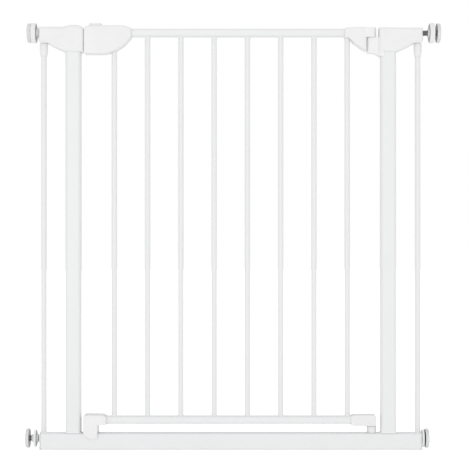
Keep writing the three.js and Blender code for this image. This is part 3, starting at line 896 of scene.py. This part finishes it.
def bar_room(node):
    low, high = box(node)
    return rod_tool((centre_of(node)[0], 0, 0), "z", radius_of(node) + GAP, low.z, high.z + 6)


STEM_HALF = 3  # half the depth of the stem under the thumb slider


def handle_rooms():
    """What the inside of the handle is cut away for."""
    bolt_low, bolt_high = box("latch_bolt")
    spring_end = box("latch_spring")[1].x
    stem_top = box("thumb_slider")[1].z
    middle = centre_of("thumb_slider")[0]
    half_stem = STEM_HALF + GAP
    return [
        block_tool(
            (bolt_low.x - 5, bolt_low.y - GAP, bolt_low.z - GAP),
            (spring_end + GAP, bolt_high.y + GAP, bolt_high.z + GAP),
        ),
        block_tool(
            (middle - 4.5 - GAP, -half_stem, bolt_high.z - 2),
            (middle + 3.5 + LATCH_TRAVEL + GAP, half_stem, stem_top + 5),
        ),
        rail_room("door_top_rail"),
        bar_room(DOOR_BARS[0]),
        screw_tool("handle_screw_1"),
        screw_tool("handle_screw_2"),
    ]


def make_handle():
    for half, direction in HALVES:
        node = f"handle_{half}"
        y_face, y_seam = face_and_seam(node, direction)
        rounded = pillow(handle_outline(), y_face, y_seam, 3.6)
        made = piece(f"{node}_shell", rounded, "door", PLASTIC, node)
        common(made, tool(pillow(handle_trim(), y_face + direction, y_seam, 1.2)))
        finish(cut(made, *handle_rooms()))


def make_slider():
    """The thumb slider: a low pad with a hollow for the thumb and grip ribs, on a stem."""
    low, high = box("thumb_slider")
    pad_bottom = box("handle_front")[1].z + GAP
    outline = soften([
        (low.x, pad_bottom, 0.8), (high.x, pad_bottom, 0.8), (high.x - 0.6, high.z - 1, 1.2),
        (high.x - 3, high.z, 1.6), (high.x - 7, high.z - 1.1, 3), (low.x + 7, high.z - 1.1, 3),
        (low.x + 3, high.z, 1.6), (low.x + 0.6, high.z - 1, 1.2),
    ], steps=4)
    pad = cushion(outline, high.y, 0.7, 4)
    made = piece("thumb_slider_pad", pad, "latch", PLASTIC, "thumb_slider")
    stem_left, stem_right = low.x + 7, low.x + 15
    parts = [block_tool((stem_left, -STEM_HALF, low.z), (stem_right, STEM_HALF, pad_bottom + 1))]
    rib = [(0, -5.5), (0.3, -5.5), (0.55, -5.2), (0.55, 5.2), (0.3, 5.5), (0, 5.5)]
    for i in range(5):
        x = low.x + 8 + i * 1.75
        parts.append(tool(turned(rib, (x, 0, high.z - 1.15), "y", 12)))
    finish(join(made, *parts))


def make_bolt():
    low, high = box("latch_bolt")
    outline = soften([
        (low.x, low.z + 2, 1), (low.x + 2, low.z, 1), (high.x, low.z, 0.7), (high.x, high.z, 0.7),
        (low.x + 2, high.z, 1), (low.x, high.z - 2, 1),
    ], steps=4)
    bolt = cushion(outline, high.y, 0.5, 3)
    finish(piece("latch_bolt_steel", bolt, "latch", BRIGHT, "latch_bolt"))


def make_keeper():
    """The keeper plate in the slot of the left housing."""
    node = "latch_keeper"
    low, high = box(node)
    points = rectangle(high.y - low.y, high.z - low.z, 1.2)
    plate = prism(points, "x", low.x, high.x, (0, centre_of(node)[2]))
    made = piece(f"{node}_plate", plate, "frame", BRIGHT, node)
    finish(cut(made, bolt_slot(low.x - 1, high.x + 1)))


def make_spring():
    """The return spring: a round wire on a helix, on a mesh of its own. On the real gate it shortens as
    the thumb slider moves; here it keeps its length.
    """
    low, high = box("latch_spring")
    wire, turns, steps, sides = 0.45, 7, 24, 10
    radius = radius_of("latch_spring", "z") - wire
    centre_z = centre_of("latch_spring")[2]
    total = turns * steps
    bm = bmesh.new()
    rings = []
    for i in range(total + 1):
        t = i / total
        angle = 2 * math.pi * turns * t
        x = low.x + wire + (high.x - low.x - 2 * wire) * t
        out = Vector((0, math.cos(angle), math.sin(angle)))
        middle = Vector((x, 0, centre_z)) + out * radius
        ring = []
        for k in range(sides):
            a = 2 * math.pi * k / sides
            ring.append(bm.verts.new(middle + (out * math.cos(a) + AXES["x"] * math.sin(a)) * wire))
        rings.append(ring)
    skin(bm, rings)
    made = finish(piece("latch_spring_wire", bm, "door", BRIGHT, "latch_spring"))
    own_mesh(made)


make_handle()
make_slider()
make_bolt()
make_keeper()
make_spring()
for number in (1, 2):
    make_screw(f"handle_screw_{number}", "door")


# ---------------- hinges

RUNNING_GAP = 0.4  # between the pieces that turn on each other
WASHER_RADIUS = 7.3
PLAN_START = 180  # well inside the hinge cover, where its plans begin


def nose_plan(nose, start):
    """Plan outline of a hinged piece's end about the hinge axis, from points (x, half depth)."""
    front = [(HINGE_X + x, -y, *rest) for x, y, *rest in nose]
    rear = [(HINGE_X + x, y, *rest) for x, y, *rest in reversed(nose)]
    return soften([(start, front[0][1]), *front, *rear, (start, rear[-1][1])])


def cover_outline():
    low, high = box("hinge_cover_front")
    left, right, top = low.x, high.x + FAR, high.z
    underside = LUG_TOP - 0.8
    beside = HINGE_X - LUG_RADIUS - 1.6
    return soften([
        (left, underside, 2.6),
        (213, underside),
        *curve((213, underside), (219, underside - 4.6), (226, low.z + 9.5), (beside, low.z), steps=16),
        (right, low.z - 8, 3), (right, top, 3), (224, top, 14), (left, top - 1.4, 2.8),
    ])


def cover_nose(width, half_depth):
    """Plan of the cover above the lug: nearly as deep as the cover, rounded about the hinge axis."""
    deep, steps = 12.8, 16
    nose = [(-20, half_depth, 6), (-11, deep + 0.1, 6)]
    for k in range(steps + 1):
        angle = math.pi / 2 * (1 - k / steps)
        nose.append((width * math.cos(angle), deep * math.sin(angle)))
    return nose_plan(nose, PLAN_START)


def cover_cheek(half_depth):
    """Plan of the cover beside the lug: it draws in there so that the door can swing."""
    return nose_plan([(-20, half_depth, 6), (-12.2, 13.2, 2.5), (-9.2, 10.5)], PLAN_START)


def washer_room(node):
    """The recess that the hinge washer turns in."""
    low, high = box(node)
    return hinge_rod(WASHER_RADIUS + GAP, low.z - 5, high.z + GAP)


def cover_trim():
    """Bounds the cover beside the lug and above it."""
    low, high = box("hinge_cover_front")
    beside = HINGE_X - LUG_RADIUS - 1.1
    shelf = LUG_TOP + RUNNING_GAP
    return soften([
        (low.x - FAR, low.z - 10, 2), (beside, low.z - 10, 2), (beside, shelf),
        (high.x, shelf, 0.8), (high.x, high.z, 3.4), (high.x - 6, high.z + 0.01),
        (high.x - 6, high.z + FAR, 2), (low.x - FAR, high.z + FAR, 2),
    ])


def make_cover():
    pin_low, pin_high = box("upper_hinge_pin")
    shelf = LUG_TOP + RUNNING_GAP
    for half, direction in HALVES:
        node = f"hinge_cover_{half}"
        y_face, y_seam = face_and_seam(node, direction)
        rounded = pillow(cover_outline(), y_face, y_seam, 2.5)
        made = piece(f"{node}_shell", rounded, "door", PLASTIC, node)
        width, half_depth = box(node)[1].x - HINGE_X, abs(y_face) + 1
        nose = tool(prism(cover_nose(width, half_depth), "z", shelf, OVER_COVER))
        join(nose, tool(prism(cover_cheek(half_depth), "z", UNDER_LUG, shelf + 1)))
        common(made, tool(pillow(cover_trim(), y_face + direction, y_seam, 0.7)), nose)
        rooms = [
            washer_room("upper_hinge_washer"),
            rail_room("door_top_rail"),
            bar_room(DOOR_BARS[-1]),
            hinge_rod(radius_of("upper_hinge_pin") + GAP, pin_low.z, pin_high.z + GAP),
            screw_tool("hinge_cover_screw"),
        ]
        finish(cut(made, *rooms))


def ring_section(bore, outer, start, end, lip=0.3):
    """Profile of a turned ring with softened rims."""
    corners = [(bore, start, lip), (outer, start, lip), (outer, end, lip), (bore, end, lip)]
    return soften(corners, steps=3)


def make_ring(node, body, material, radius=None, lip=0.3):
    """A bush, collar or washer, with the bore for the hinge pin."""
    low, high = box(node)
    bore = radius_of("lower_hinge_pin") + GAP
    profile = ring_section(bore, radius or radius_of(node), low.z, high.z, lip)
    made = turned(profile, (centre_of(node)[0], 0, 0))
    finish(piece(f"{node}_turned", made, body, material, node))


def make_pin(node, body):
    low, high = box(node)
    profile = chamfered(0, radius_of(node), low.z, high.z, 0.8)
    made = turned(profile, (HINGE_X, 0, 0), segments=48)
    finish(piece(f"{node}_turned", made, body, ROD, node))


def make_hinge_cap():
    """The cap that joins the bottom rail to the lower hinge."""
    node = "bottom_hinge_cap"
    low, high = box(node)
    outline = soften([
        (low.x, low.z + 1.2, 1.8), (low.x + 5, low.z, 4), (high.x + FAR, low.z, 2),
        (high.x + FAR, high.z, 2), (low.x + 4.5, high.z, 4), (low.x, high.z - 2.6, 1.8),
    ])
    right = soften([
        (low.x - FAR, low.z - FAR, 2), (high.x, low.z - FAR, 2), (high.x, high.z, 4.5),
        (low.x - FAR, high.z + 0.01, 2),
    ])
    made = piece(f"{node}_shell", cushion(outline, high.y, 1.7), "door", PLASTIC, node)
    width = high.x - HINGE_X
    plan = nose_plan([(-12, high.y + 1), (width, high.y + 1, 5), (width, 0)], low.x - 20)
    common(made, tool(cushion(right, high.y + 1, 1.4)), tool(prism(plan, "z", low.z - 5, high.z + 5)))
    skirt_foot = box("lower_hinge_collar")[1].z + RUNNING_GAP
    join(made, hinge_rod(width - 0.1, skirt_foot, low.z + 6))
    bush_top = box("lower_hinge_bush")[1].z
    bush_room = hinge_rod(radius_of("lower_hinge_bush") + GAP, low.z - 5, bush_top + GAP)
    finish(cut(made, rail_room("door_bottom_rail"), bush_room, washer_room("lower_hinge_washer")))


make_cover()
make_screw("hinge_cover_screw", "door")
make_hinge_cap()
make_ring("upper_hinge_bush", "frame", PLASTIC)
make_ring("lower_hinge_bush", "door", PLASTIC)
make_ring("lower_hinge_collar", "frame", PLASTIC)
make_ring("upper_hinge_washer", "hinge_washers", BRIGHT, WASHER_RADIUS, 0.15)
make_ring("lower_hinge_washer", "hinge_washers", BRIGHT, WASHER_RADIUS, 0.15)
make_pin("upper_hinge_pin", "door")
make_pin("lower_hinge_pin", "frame")


# ---------------- bottom lock


def make_lock():
    """The fork that stands astride the base rail, with a cap over the end of the bottom rail."""
    node = "bottom_lock"
    low, high = box(node)
    cap_left, cap_bottom, cap_half = low.x + 2.5, 44.8, high.y - 0.15
    leg_right = low.x + 26
    rail_high = box("base_rail")[1]
    fork = soften([
        (low.x, low.z + 8, 3), (low.x + 11, low.z, 6), (leg_right, low.z + 0.4, 2),
        (leg_right, high.z, 2.2), (low.x, high.z, 2.6),
    ])
    cap = soften([
        (cap_left, cap_bottom, 2), (high.x, cap_bottom, 2), (high.x, high.z - 4, 2),
        (high.x - 6, high.z - 0.2, 3), (cap_left, high.z - 0.2, 2),
    ])
    made = piece(f"{node}_fork", cushion(fork, high.y, 1.9), "door", PLASTIC, node)
    join(made, tool(cushion(cap, cap_half, 1.6)))
    slot_half, slot_top = rail_high.y + 2 * GAP, rail_high.z + 1.3
    slot = block_tool((low.x - 5, -slot_half, low.z - 5), (leg_right + 5, slot_half, slot_top))
    finish(cut(made, slot, rail_room("door_bottom_rail")))


make_lock()


# ---------------- ferrules, plugs and arm tubes

SPINDLE_RADIUS = 5


def make_ferrule(side):
    node = f"ferrule_{side}"
    low, high = box(node)
    radius = radius_of(node)
    bore = radius_of(f"side_bar_{side}") + GAP
    shoulder = (high.z - low.z) * 0.35
    profile = soften([
        (bore, low.z, 0.2), (radius - 1.1, low.z, 0.7), (radius, low.z + shoulder, 6),
        (radius, high.z, 0.3), (bore, high.z, 0.2),
    ], steps=5)
    made = turned(profile, (centre_of(node)[0], 0, 0))
    finish(piece(f"{node}_turned", made, "frame", PLASTIC, node))


def ends_of(node, sign):
    """X of a node's end towards the gate and of its end towards the wall."""
    low, high = box(node)
    return (low.x, high.x) if sign > 0 else (high.x, low.x)


def make_plug(side, sign):
    """The plug in an end of the base rail: a flange, a shank inside the tube and the screw's bore."""
    node = f"base_plug_{side}"
    low, high = box(node)
    depth, height = high.y - low.y, high.z - low.z
    outer = rectangle(depth, height, RAIL_CORNER)
    trimmed = rectangle(depth - 1, height - 1, RAIL_CORNER - 0.5)
    shank = rectangle(depth - 3.6, height - 3.6, 1.5)
    back, face = ends_of(node, sign)
    flange = face - sign * 1.8
    rim = face - sign * 0.5
    bm = bmesh.new()
    rings = []
    for points, x in ((shank, back), (shank, flange), (outer, flange), (outer, rim), (trimmed, face)):
        rings.append(flat_ring(bm, points, "x", x, (0, centre_of(node)[2])))
    skin(bm, rings)
    made = piece(f"{node}_moulded", bm, "frame", PLASTIC, node)
    reach = sorted((back - sign * 5, face + sign * 5))
    axis_z = centre_of(f"spindle_lower_{side}")[2]
    finish(cut(made, rod_tool((0, 0, axis_z), "x", SPINDLE_RADIUS + GAP, *reach)))


def make_arm_tube(side):
    node = f"arm_tube_{side}"
    low, high = box(node)
    profile = ring_section(SPINDLE_RADIUS + GAP, radius_of(node, "z"), low.x, high.x)
    made = turned(profile, (0, 0, centre_of(node)[2]), "x", 48)
    finish(piece(f"{node}_turned", made, "frame", PAINT, node))


for side, sign in SIDES:
    make_ferrule(side)
    make_plug(side, sign)
    make_arm_tube(side)


# ---------------- wall adjusters

THREAD_PITCH = 2.5
THREAD_DEPTH = 0.75


def round_ring(bm, x, z, radii):
    """A ring of vertices about an axis along X at height z, with a radius for each vertex."""
    ring = []
    for k, radius in enumerate(radii):
        angle = 2 * math.pi * k / len(radii)
        ring.append(bm.verts.new((x, radius * math.cos(angle), z + radius * math.sin(angle))))
    return ring


def make_spindle(corner, sign):
    """A threaded rod with a round foot."""
    node = f"spindle_{corner}"
    centre_z = centre_of(node)[2]
    foot_radius, foot_length, edge = radius_of(node, "z"), 3, 0.4
    inner_end, outer_end = ends_of(node, sign)
    foot = outer_end - sign * foot_length
    length = abs(foot - inner_end)
    steps_per_turn, segments = 10, 40
    steps = int(length / THREAD_PITCH * steps_per_turn)
    bm = bmesh.new()
    rings = []
    for i in range(steps + 1):
        t = i / steps
        fade = min(1, 8 * t, 30 * (1 - t))
        tip = 0.8 * max(0, 1 - 40 * t)
        radii = []
        for k in range(segments):
            phase = (length * t / THREAD_PITCH - sign * k / segments) % 1
            valley = max(0, 1 - abs(phase - 0.5) * 3.2)
            radii.append(SPINDLE_RADIUS - THREAD_DEPTH * fade * valley - tip)
        rings.append(round_ring(bm, inner_end + sign * length * t, centre_z, radii))
    for x, radius in (
        (foot, foot_radius - edge), (foot + sign * edge, foot_radius),
        (outer_end - sign * edge, foot_radius), (outer_end, foot_radius - edge),
    ):
        rings.append(round_ring(bm, x, centre_z, [radius] * segments))
    skin(bm, rings)
    finish(piece(f"{node}_threaded", bm, f"foot_{corner}", ROD, node))


def make_pad(corner, sign):
    """A rubber cup over the spindle's foot, with rings on the face that grips the wall."""
    node = f"wall_pad_{corner}"
    radius = radius_of(node, "z")
    inner, wall = ends_of(node, sign)
    pocket = radius_of(f"spindle_{corner}", "z") + GAP
    floor = inner + sign * 3.3
    groove = wall - sign * 0.8
    profile = [(0, groove)]
    for ring in (3, 6.5, 10):
        profile += [(ring - 1.1, groove), (ring - 0.7, wall), (ring + 0.7, wall), (ring + 1.1, groove)]
    profile += [(12.4, groove), (12.8, wall), (13.2, wall), (13.9, wall)]
    edge = soften([
        profile[-1], (radius - 0.2, wall, 2.2), (radius, inner, 0.5), (pocket, inner, 0.3),
        (pocket, floor, 0.3), (0, floor),
    ], closed=False)
    made = turned(profile + edge[1:], (0, 0, centre_of(node)[2]), "x", 72)
    finish(piece(f"{node}_rubber", made, f"foot_{corner}", RUBBER, node))


def make_wheel(corner, sign):
    """A hand wheel: a ribbed rim, a dished face towards the gate and a boss on the spindle. On three
    of the four a dark disc in the dish is painted shade for the shaded gate-facing side."""
    node = f"hand_wheel_{corner}"
    upper = corner.startswith("upper")
    centre = (0, 0, centre_of(node)[2])
    radius = radius_of(node, "z")
    bore = SPINDLE_RADIUS + GAP
    boss, rim, ribs = (8, 9, 40) if upper else (7, 4.4, 32)
    inner_end, outer_end = ends_of(node, sign)
    length = abs(outer_end - inner_end)
    rim_end = length - 4.6 if corner == "lower_left" else length
    rim_start = max(rim_end - rim, 0)
    dish = rim_start + {"lower_left": 1.2, "lower_right": 0.5}.get(corner, 2.2)
    points = [(bore, 0, 0.3)]
    if rim_start > 1:
        points += [(boss, 0, 0.6), (boss + 0.2, dish, 0.3)]
    else:
        points += [(boss + 2, 0, 0.5), (boss + 2.2, dish, 0.3)]
    points += [
        (radius - 2.2, dish, 0.4), (radius - 1.5, rim_start, 0.4), (radius, rim_start + 0.7, 0.6),
        (radius, rim_end - 0.6, 0.5), (radius - 0.8, rim_end, 0.5),
    ]
    if rim_end < length:
        points += [(6.8, rim_end, 0.5), (6.8, length, 0.6)]
    points += [(bore, length, 0.3)]

    def placed(outline):
        """Turns distances from the wheel's inner end into positions along X."""
        return [(r, inner_end + sign * distance) for r, distance in outline]

    def ribbed(r, angle):
        return r - 0.35 + 0.35 * math.cos(ribs * angle) if r >= radius - 1.2 else r

    made = turned(placed(soften(points, steps=3)), centre, "x", 8 * ribs, ribbed)
    finish(piece(f"{node}_moulded", made, f"wheel_{corner}", PLASTIC, node))
    # Painted shade: a dark steel disc in the dish darkens the wheel's gate-facing side where shade
    # falls
    if rim_start > 1 and corner != "lower_right":
        inside, outside, face = boss + 0.3, radius - 2.5, rim_start + 0.5
        plate = placed([(inside, face), (outside, face), (outside, dish), (inside, dish)])
        finish(piece(f"{node}_plate", turned(plate, centre, "x"), f"wheel_{corner}", ROD))


for level in ("upper", "lower"):
    for side, sign in SIDES:
        make_spindle(f"{level}_{side}", sign)
        make_pad(f"{level}_{side}", sign)
        make_wheel(f"{level}_{side}", sign)
